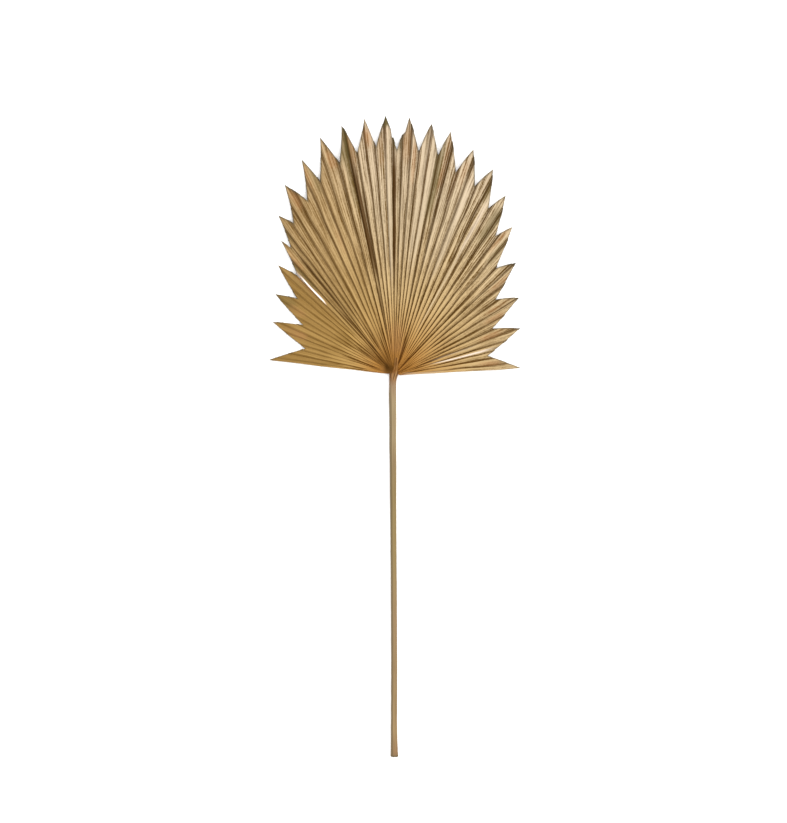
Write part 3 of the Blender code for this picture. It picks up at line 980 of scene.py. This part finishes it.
    def heights(self, grid: FanGrid) -> Array:
        """Works out the height of the sheet's upper face.

        Args:
            grid: The mesh in plan.

        Returns:
            The heights by column and row.
        """
        share, reach = grid.share, grid.reach
        place, tip_reach = grid.column("place"), grid.column("tip_reach")
        crest = 1 - np.abs(place % 2 - 1)
        rise = grid.column("width") * reach * np.tan(np.radians(grid.column("slope")))
        rise = rise * (1 + self.uneven_rise.at(np.floor(place / 2), share))
        rise = rise * smooth_step(self.pleats_start, self.pleats_full, reach)
        rise = np.minimum(rise, self.most_pleat_height) * self.profile(crest)
        rib = self.rib_height * smooth_step(0.8, 1.0, crest)
        crease = self.crease_depth * (1 - smooth_step(0.0, 0.12, crest))
        fibres = self.fibre_relief.at(np.arange(len(place))[:, None], share)
        height = self.valley_lift(reach, grid.angle, tip_reach) + self.thickness + self.crease_depth
        height = height + rise + (rib - crease + fibres) * smooth_step(*self.relief_starts, reach)
        # The teeth twist and lift towards their tips.
        free = smooth_step(0.7, 1.0, reach / tip_reach)
        off_middle = np.radians(grid.column("angle") - grid.column("tip_angle")) * reach
        height = height - np.tan(np.radians(grid.column("twist"))) * off_middle * free
        height = height + grid.column("lift") * free**2
        height = height + self.slow_waves.at(place, share) * smooth_step(40.0, 120.0, reach)
        height = height + self.edge_waves.at(place, share) * smooth_step(0.8, 1.0, share)
        height = height + self.gather_height * (1 - smooth_step(0.0, self.gather_reach, reach))
        return np.maximum(height, self.thickness + self.least_clearance)

    def fold(self, place: Array) -> Array:
        """Painted light and shade by the place on a pleat: 0 on the narrow face and 1 right of the ridge."""
        return np.interp(place % 2, self.pleat_shading_places, self.pleat_shading_values)

    def paint(self, grid: FanGrid) -> dict[str, Array]:
        """Lays the fan's colours on its points.

        Args:
            grid: The mesh in plan.

        Returns:
            The colour attributes by name.
        """
        share, angle, reach, place = grid.share, grid.angle, grid.reach, grid.column("place")
        everywhere = np.zeros_like(reach)
        colours = {paint.value: everywhere.copy() for paint in Paint}
        for streak in self.streaks:
            colours[streak.paint.value] += streak.weight(angle, reach)
        for spot in self.spots:
            colours[spot.paint.value] += spot.weight(grid.plan[..., 0], grid.plan[..., 1])
        # Painted light: the tone rises towards the right.
        painted_light_right = 0.07 * smooth_step(*self.painted_light_right_side, angle)
        faces = self.face_tone.at(np.floor(place), share) + painted_light_right
        colours["tone"] += faces * smooth_step(*self.faces_start, reach)
        left = 1 - smooth_step(*self.left_side, angle)
        low_left = 1 - smooth_step(*self.lower_left, angle)
        low_right = smooth_step(*self.lower_right, angle)
        colours["gold"] = (0.58 * left + 0.34 * low_left) * smooth_step(*self.gold_starts, reach)
        calm = 0.80 * left + 0.30 * low_left + 0.36 * low_right
        colours["lively"] = 1.4 - calm * smooth_step(*self.calm_starts, reach)
        # How strong the dark valley lines are: painted shade, partly browner grooves.
        line = 0.80 + self.line_strength.at(np.round(place / 2), share)
        colours["line"] = line * (1 - 0.2 * left - 0.5 * low_left - 0.35 * low_right)
        # The cut edge has browned in patches, most of all at the tips.
        rim = smooth_step(0.975, 0.997, share) * self.rim_share
        tip = (1 - smooth_step(1.0, self.tip_length, grid.column("tip_reach") - reach)) * self.tip_share
        patchy = 0.75 + self.rim_patches.at(place, share)
        colours["rim"] = np.clip(np.maximum(rim, tip) * patchy, 0.0, 1.0)
        # The split's right side is painted pale: partly its rim, partly painted light for the floor seen
        # through it.
        near_split = 1 - smooth_step(0.34, 0.62, np.abs(place - grid.column("split_line")))
        from_split = smooth_step(self.split_share - 0.02, self.split_share + 0.03, share)
        split = near_split * (grid.column("side") > 0) * from_split
        colours["white"] += split * (1 - 0.8 * smooth_step(0.9, 0.97, share))
        # The painted light and shade across each pleat.
        colours["fold"] = self.fold(place) + everywhere
        colours["strip"] = place + everywhere
        colours["reach"] = reach / self.longest_reach
        return colours

    def build(self) -> bpy.types.Object:
        """Makes the fan's mesh, gives it its thickness and dresses it."""
        columns, share = self.column_values(), self.row_shares()
        grid = FanGrid(columns, share, self.plan(columns, share))
        points = np.concatenate([grid.plan, self.heights(grid)[..., None]], axis=-1)
        attributes = self.paint(grid)
        numbers = np.arange(points.shape[0] * points.shape[1]).reshape(points.shape[:2])
        split_column = int(np.sum(columns["side"] < 0)) - 1
        closed_rows = int(np.sum(share <= self.split_share))
        numbers[split_column + 1, :closed_rows] = numbers[split_column, :closed_rows]
        faces = []
        for column in range(len(numbers) - 1):
            if column == split_column:
                continue
            left, right = numbers[column], numbers[column + 1]
            for row in range(len(left) - 1):
                faces.append((left[row], right[row], right[row + 1], left[row + 1]))
        used, compact = np.unique(np.array(faces), return_inverse=True)
        faces = [tuple(face) for face in compact.reshape(-1, 4).tolist()]
        flat = {name: values.reshape(-1)[used] for name, values in attributes.items()}
        fan = mesh_object("pleated_fan", points.reshape(-1, 3)[used], faces, flat)
        sheet = fan.modifiers.new("thickness", "SOLIDIFY")
        sheet.thickness = self.thickness * MM
        sheet.offset = -1
        dress(fan, self.finish.material())
        return fan


@dataclass
class Stalk:
    """The straight stalk from its cut end to the tongue that lies over the front of the pleats."""

    finish: StalkFinish
    # Each station is (distance from the hub, sideways offset, height of the middle, width).
    stations: tuple[tuple[float, float, float, float], ...] = (
        (-361.0, 0.4, 3.15, 7.3), (-359.4, 0.4, 3.05, 7.1), (-356.0, 0.3, 2.9, 6.7),
        (-345.0, 0.2, 2.65, 6.1), (-330.0, 0.1, 2.6, 5.8), (-265.0, 0.2, 3.1, 5.7),
        (-190.0, -0.2, 3.8, 5.7), (-145.0, -0.5, 3.9, 5.7), (-95.0, -0.8, 3.9, 6.2),
        (-45.0, -1.1, 3.7, 6.7), (-20.0, -1.4, 3.5, 6.8), (-10.0, -1.2, 3.6, 6.6), (-7.0, -1.0, 3.8, 7.0),
        (-4.0, -0.6, 4.0, 7.8), (-2.0, -0.2, 4.3, 8.6), (0.0, 0.6, 4.6, 7.4), (2.0, 1.3, 4.8, 5.4),
        (5.0, 1.8, 4.5, 4.2), (9.0, 2.0, 3.3, 4.3), (12.0, 2.2, 2.4, 4.4), (14.5, 2.4, 1.9, 4.0),
        (16.5, 2.6, 1.7, 3.6),
    )
    # The section, one unit wide, from the right edge over the top: a keel left of the middle, round below.
    section_points: tuple[Pair, ...] = (
        (0.50, -0.04), (0.46, 0.10), (0.35, 0.21), (0.19, 0.30), (0.02, 0.36), (-0.13, 0.39), (-0.22, 0.35),
        (-0.36, 0.19), (-0.47, 0.04), (-0.50, -0.07), (-0.44, -0.21), (-0.27, -0.34), (0.0, -0.40),
        (0.27, -0.34), (0.44, -0.21),
    )
    sides: int = 60
    steps: int = 180
    # The unevenness of growth, each kind with a seed of its own.
    ridges: SmoothNoise = SmoothNoise(73, 0.02, (0.625, 1.0))
    wobble: SmoothNoise = SmoothNoise(61, 0.12, (1 / 23, 1.0))
    uneven_width: SmoothNoise = SmoothNoise(67, 0.02, (1 / 9, 1.0))
    cut_grain: SmoothNoise = SmoothNoise(71, 0.3, (0.9, 9.0))
    fork_depth: float = 0.8
    # Each groove at the fork is (place across, lean per millimetre, half width, start, end, strength).
    fork_grooves: Rows = (
        (-0.72, -0.01, 0.22, -10.0, 0.5, 0.9), (0.80, 0.03, 0.20, -8.0, 0.5, 1.0),
        (0.24, 0.02, 0.17, -9.5, -1.0, 1.0), (0.0, 0.0, 0.12, -14.0, -9.0, 0.4),
        (-0.05, 0.0, 0.16, 1.0, 12.0, 0.5),
    )
    # The light ribs between them, in the same form.
    fork_ribs: Rows = (
        (0.53, 0.03, 0.24, -11.0, 0.0, 0.9), (-0.42, -0.03, 0.16, -8.0, -1.0, 0.6),
        (0.02, 0.02, 0.12, -8.0, -1.0, 0.4),
    )
    tongue_ribs: float = 2.0
    tongue_rib_height: float = 0.16
    cut_rings: Numbers = (0.97, 0.85, 0.65, 0.45, 0.22)
    # More rings where the shape turns: by distance from the cut, from the hub and from the tongue's tip.
    rings_at_cut: Numbers = (0.3, 0.8)
    rings_at_hub: Numbers = (-12.0, -8.0, -6.0, -2.0, 2.0, 6.0, 11.0)
    ring_at_tip: float = 1.0

    def station(self, along: Array) -> Array:
        """The stalk's sideways offset, height and width at distances from the hub."""
        table = np.array(self.stations)
        return np.stack([np.interp(along, table[:, 0], values) for values in table[:, 1:].T], axis=-1)

    def section(self) -> Array:
        """The stalk's outline, one unit wide, smoothed through its points, with fine ridges."""
        corners = np.array(self.section_points)
        places = np.linspace(0.0, len(corners), self.sides, endpoint=False)
        number = np.floor(places).astype(int)
        share = (places - number)[:, None]
        before, here, after, beyond = (corners[(number + step) % len(corners)] for step in (-1, 0, 1, 2))
        curve = 2 * here + (after - before) * share
        curve = curve + (2 * before - 5 * here + 4 * after - beyond) * share**2
        curve = curve + (3 * here - before - 3 * after + beyond) * share**3
        ripple = 1 + self.ridges.at(np.arange(self.sides))
        return curve / 2 * ripple[:, None]

    def sweep(self) -> tuple[Array, dict[str, Array]]:
        """Sweeps the outline along the stalk.

        Returns:
            The points by ring and side, and their colour attributes.
        """
        first, last = self.stations[0][0], self.stations[-1][0]
        even = np.linspace(first, last, self.steps)
        extra = [*(first + step for step in self.rings_at_cut), *self.rings_at_hub, last - self.ring_at_tip]
        along = np.unique(np.concatenate([even, extra]))
        side, up, width = self.station(along).T
        wobble = self.wobble.at(along, 0.5)
        width = width * (1 + self.uneven_width.at(along, 3.5))
        outline = self.section()
        rings, sides = len(along), self.sides
        points = np.zeros((rings, sides, 3))
        points[..., 0] = (side + wobble)[:, None] + outline[None, :, 0] * width[:, None]
        points[..., 1] = along[:, None]
        points[..., 2] = up[:, None] + outline[None, :, 1] * width[:, None]

        is_top = smooth_step(0.0, 0.2, outline[None, :, 1])
        groove = self.lines(self.fork_grooves, along[:, None], outline[None, :, 0] * 2)
        rib = self.lines(self.fork_ribs, along[:, None], outline[None, :, 0] * 2)
        points[..., 2] -= self.fork_depth * groove * is_top
        on_blade = smooth_step(-2.0, 5.0, along)[:, None]
        tongue_ribs = -np.cos(outline[None, :, 0] * 2 * np.pi * self.tongue_ribs) * on_blade
        points[..., 2] += self.tongue_rib_height * tongue_ribs * is_top
        reddish = 0.5 * smooth_step(-13.0, -6.0, along) + 0.5 * smooth_step(-4.0, 1.0, along)
        values = {
            "hub": reddish[:, None] + np.zeros(sides),
            # groove darkens the fork's grooves and the tongue's rib hollows, partly brown and partly painted
            # shade.
            "groove": np.clip((groove * 0.85 - tongue_ribs.clip(-1, 0) * 0.8) * is_top, 0.0, 1.0),
            # bright lightens the fork's ribs and the tongue's rib tops, partly pale straw and partly painted
            # highlight.
            "bright": np.maximum(0.5 * tongue_ribs.clip(0, 1), rib) * is_top,
            "cut": np.zeros((rings, sides)),
            "down": (along / first).clip(0.0, 1.0)[:, None] + np.zeros(sides),
        }
        # The stalk's left side is painted shade, and its last millimetres by the cut are darker.
        is_left = 1 - smooth_step(-0.24, -0.12, outline[None, :, 0])
        end_edge = (1 - smooth_step(1.2, 2.6, along - first))[:, None]
        values["shaded"] = np.maximum(0.62 * is_left * smooth_step(0.0, 30.0, -along)[:, None], end_edge)
        return points, values

    def cut_end(self, ring: Array) -> Array:
        """The rough face of the cut, as rings that shrink from the stalk's first ring to its middle."""
        middle = ring.mean(axis=0)
        shares = np.array(self.cut_rings)[:, None, None]
        rings = middle + (ring - middle) * shares
        rings[..., 1] += self.cut_grain.at(np.arange(len(ring))[None, :], shares[..., 0])
        return rings

    def build(self) -> bpy.types.Object:
        """Sweeps the outline along the stalk, closes its ends and dresses it."""
        rings, values = self.sweep()
        cut = self.cut_end(rings[0])[::-1]
        rings = np.concatenate([cut, rings])
        for name in values:
            filler = 1.0 if name in ("cut", "down") else 0.0
            values[name] = np.concatenate([np.full(cut.shape[:2], filler), values[name]])
        points = np.concatenate([rings.reshape(-1, 3), [rings[0].mean(axis=0)], [rings[-1].mean(axis=0)]])
        flat = {name: np.append(value, [value[0, 0], value[-1, 0]]) for name, value in values.items()}
        stalk = mesh_object("stalk_and_tongue", points, closed_faces(*rings.shape[:2]), flat)
        dress(stalk, self.finish.material())
        return stalk

    def lines(self, table: Rows, along: Array, across: Array) -> Array:
        """Lays lines along the stalk, such as the grooves that split its top like a V.

        Args:
            table: The lines, each as in fork_grooves.
            along: Distances from the hub.
            across: Places across the stalk, from -1 to 1.

        Returns:
            The lines' strength at each place, 0 outside them.
        """
        depth = np.zeros(np.broadcast(along, across).shape)
        for middle, lean, half_width, low, high, strength in table:
            off_centre = np.abs(across - middle - lean * (along - high))
            line = 1 - smooth_step(0.35 * half_width, half_width, off_centre)
            start = smooth_step(low, low + 0.6 * (high - low), along)
            end = 1 - smooth_step(high - 1.0, high + 1.0, along)
            depth = np.maximum(depth, strength * line * start * end)
        return depth


@dataclass
class Swelling:
    """A grown, flattened swelling: the hub that the pleats run into, or the stalk's rib behind the fan."""

    name: str
    finish: StalkFinish
    size: Point = (9.6, 12.5, 6.4)
    centre: Point = (0.2, 1.8, 1.9)
    rings: int = 28
    sides: int = 64
    ribs: int = 16
    rib_depth: float = 0.02

    def build(self) -> bpy.types.Object:
        """Makes the swelling as a flattened ball with fine ribs, level below, and dresses it."""
        polar = np.linspace(0.0, np.pi, self.rings + 1)[1:-1, None]
        turn = np.linspace(0.0, 2 * np.pi, self.sides, endpoint=False)[None, :]
        ripple = 1 + self.rib_depth * np.cos(turn * self.ribs) * np.sin(polar)
        across, along = (np.sin(polar) * part(turn) * ripple for part in (np.cos, np.sin))
        ball = np.stack([across, along, np.cos(polar) + 0 * turn], axis=-1)
        poles = [[0.0, 0.0, 1.0], [0.0, 0.0, -1.0]]
        points = np.concatenate([ball.reshape(-1, 3), poles])
        points = points * np.array(self.size) / 2 + np.array(self.centre)
        points[:, 2] = np.maximum(points[:, 2], 0.0)
        # The swelling is painted darker on its left, as painted shade, and lighter on its right, partly
        # painted light.
        values = {
            "hub": np.full(len(points), 1.0),
            "groove": 0.7 * smooth_step(0.5, 3.5, -points[:, 0]) * smooth_step(-1.0, 3.0, points[:, 1]),
            "bright": 0.3 * smooth_step(2.0, 5.0, points[:, 0]),
        }
        swelling = mesh_object(self.name, points, closed_faces(self.rings - 1, self.sides), values)
        dress(swelling, self.finish.material())
        return swelling


@dataclass
class Studio:
    """The pale floor, the soft lights and the camera that looks straight down on the leaf."""

    floor_finish: FloorFinish
    pixel: float = 0.94
    frame_width: int = 787
    frame_height: int = 823
    hub_pixel: Pair = (394.0, 372.0)
    lens: float = 85.0
    sensor: float = 36.0
    floor_size: float = 9.0
    floor_drop: float = 0.2
    sky_strength: float = 1.25
    key_energy: float = 49.0
    key_size: float = 2.8
    key_place: Point = (1.65, 0.8, 2.2)
    top_energy: float = 21.0
    top_size: float = 1.2
    top_place: Point = (0.1, 0.1, 2.5)
    leaf_middle: Point = (0.0, 0.05, 0.0)

    def build_floor(self) -> None:
        """Lays a plain pale floor just under the leaf."""
        bpy.ops.mesh.primitive_plane_add(size=self.floor_size, location=(0.0, 0.0, -self.floor_drop * MM))
        floor = bpy.context.object
        floor.name = "floor"
        floor.data.materials.append(self.floor_finish.material())

    def build_lights(self) -> None:
        """Sets an even white sky, one large soft light from the upper right and a smaller one overhead."""
        world = bpy.data.worlds.new("white_room")
        world.use_nodes = True
        background = world.node_tree.nodes["Background"]
        background.inputs["Color"].default_value = (1.0, 1.0, 1.0, 1.0)
        background.inputs["Strength"].default_value = self.sky_strength
        bpy.context.scene.world = world
        self.hang_light("key", self.key_energy, self.key_size, self.key_place)
        self.hang_light("top", self.top_energy, self.top_size, self.top_place)

    def hang_light(self, name: str, energy: float, size: float, place: Point) -> None:
        """Hangs a square soft light that faces the middle of the leaf.

        Args:
            name: The light's name.
            energy: Its power in watts.
            size: The length of its side in metres.
            place: Where it hangs, in metres.
        """
        light = bpy.data.lights.new(name, "AREA")
        light.energy = energy
        light.size = size
        lamp = bpy.data.objects.new(name, light)
        lamp.location = place
        aim = Vector(self.leaf_middle) - lamp.location
        lamp.rotation_euler = aim.to_track_quat("-Z", "Y").to_euler()
        bpy.context.scene.collection.objects.link(lamp)

    def build_camera(self) -> None:
        """Hangs the camera over the leaf, so that it frames the leaf as the photograph does."""
        camera = bpy.data.cameras.new("camera")
        camera.lens = self.lens
        camera.sensor_width = self.sensor
        eye = bpy.data.objects.new("camera", camera)
        across = (self.frame_width / 2 - self.hub_pixel[0]) * self.pixel
        along = (self.hub_pixel[1] - self.frame_height / 2) * self.pixel
        away = self.lens / self.sensor * self.frame_height * self.pixel
        eye.location = (across * MM, along * MM, away * MM)
        bpy.context.scene.collection.objects.link(eye)
        bpy.context.scene.camera = eye

    def build(self) -> None:
        """Builds the floor, the lights and the camera, and shows true colours."""
        self.build_floor()
        self.build_lights()
        self.build_camera()
        bpy.context.scene.view_settings.view_transform = "Standard"


def main() -> None:
    """Builds the leaf's pieces and the studio in order."""
    logging.basicConfig(level=logging.INFO, format="%(name)s: %(message)s")
    Fan(StrawFinish()).build()
    Stalk(StalkFinish()).build()
    Swelling("hub_swelling", StalkFinish("hub_skin")).build()
    Swelling("back_rib", StalkFinish("rib_skin"), size=(4.4, 48.0, 2.8), centre=(0.2, 8.0, 1.4)).build()
    Studio(FloorFinish()).build()


if __name__ == "__main__":
    main()
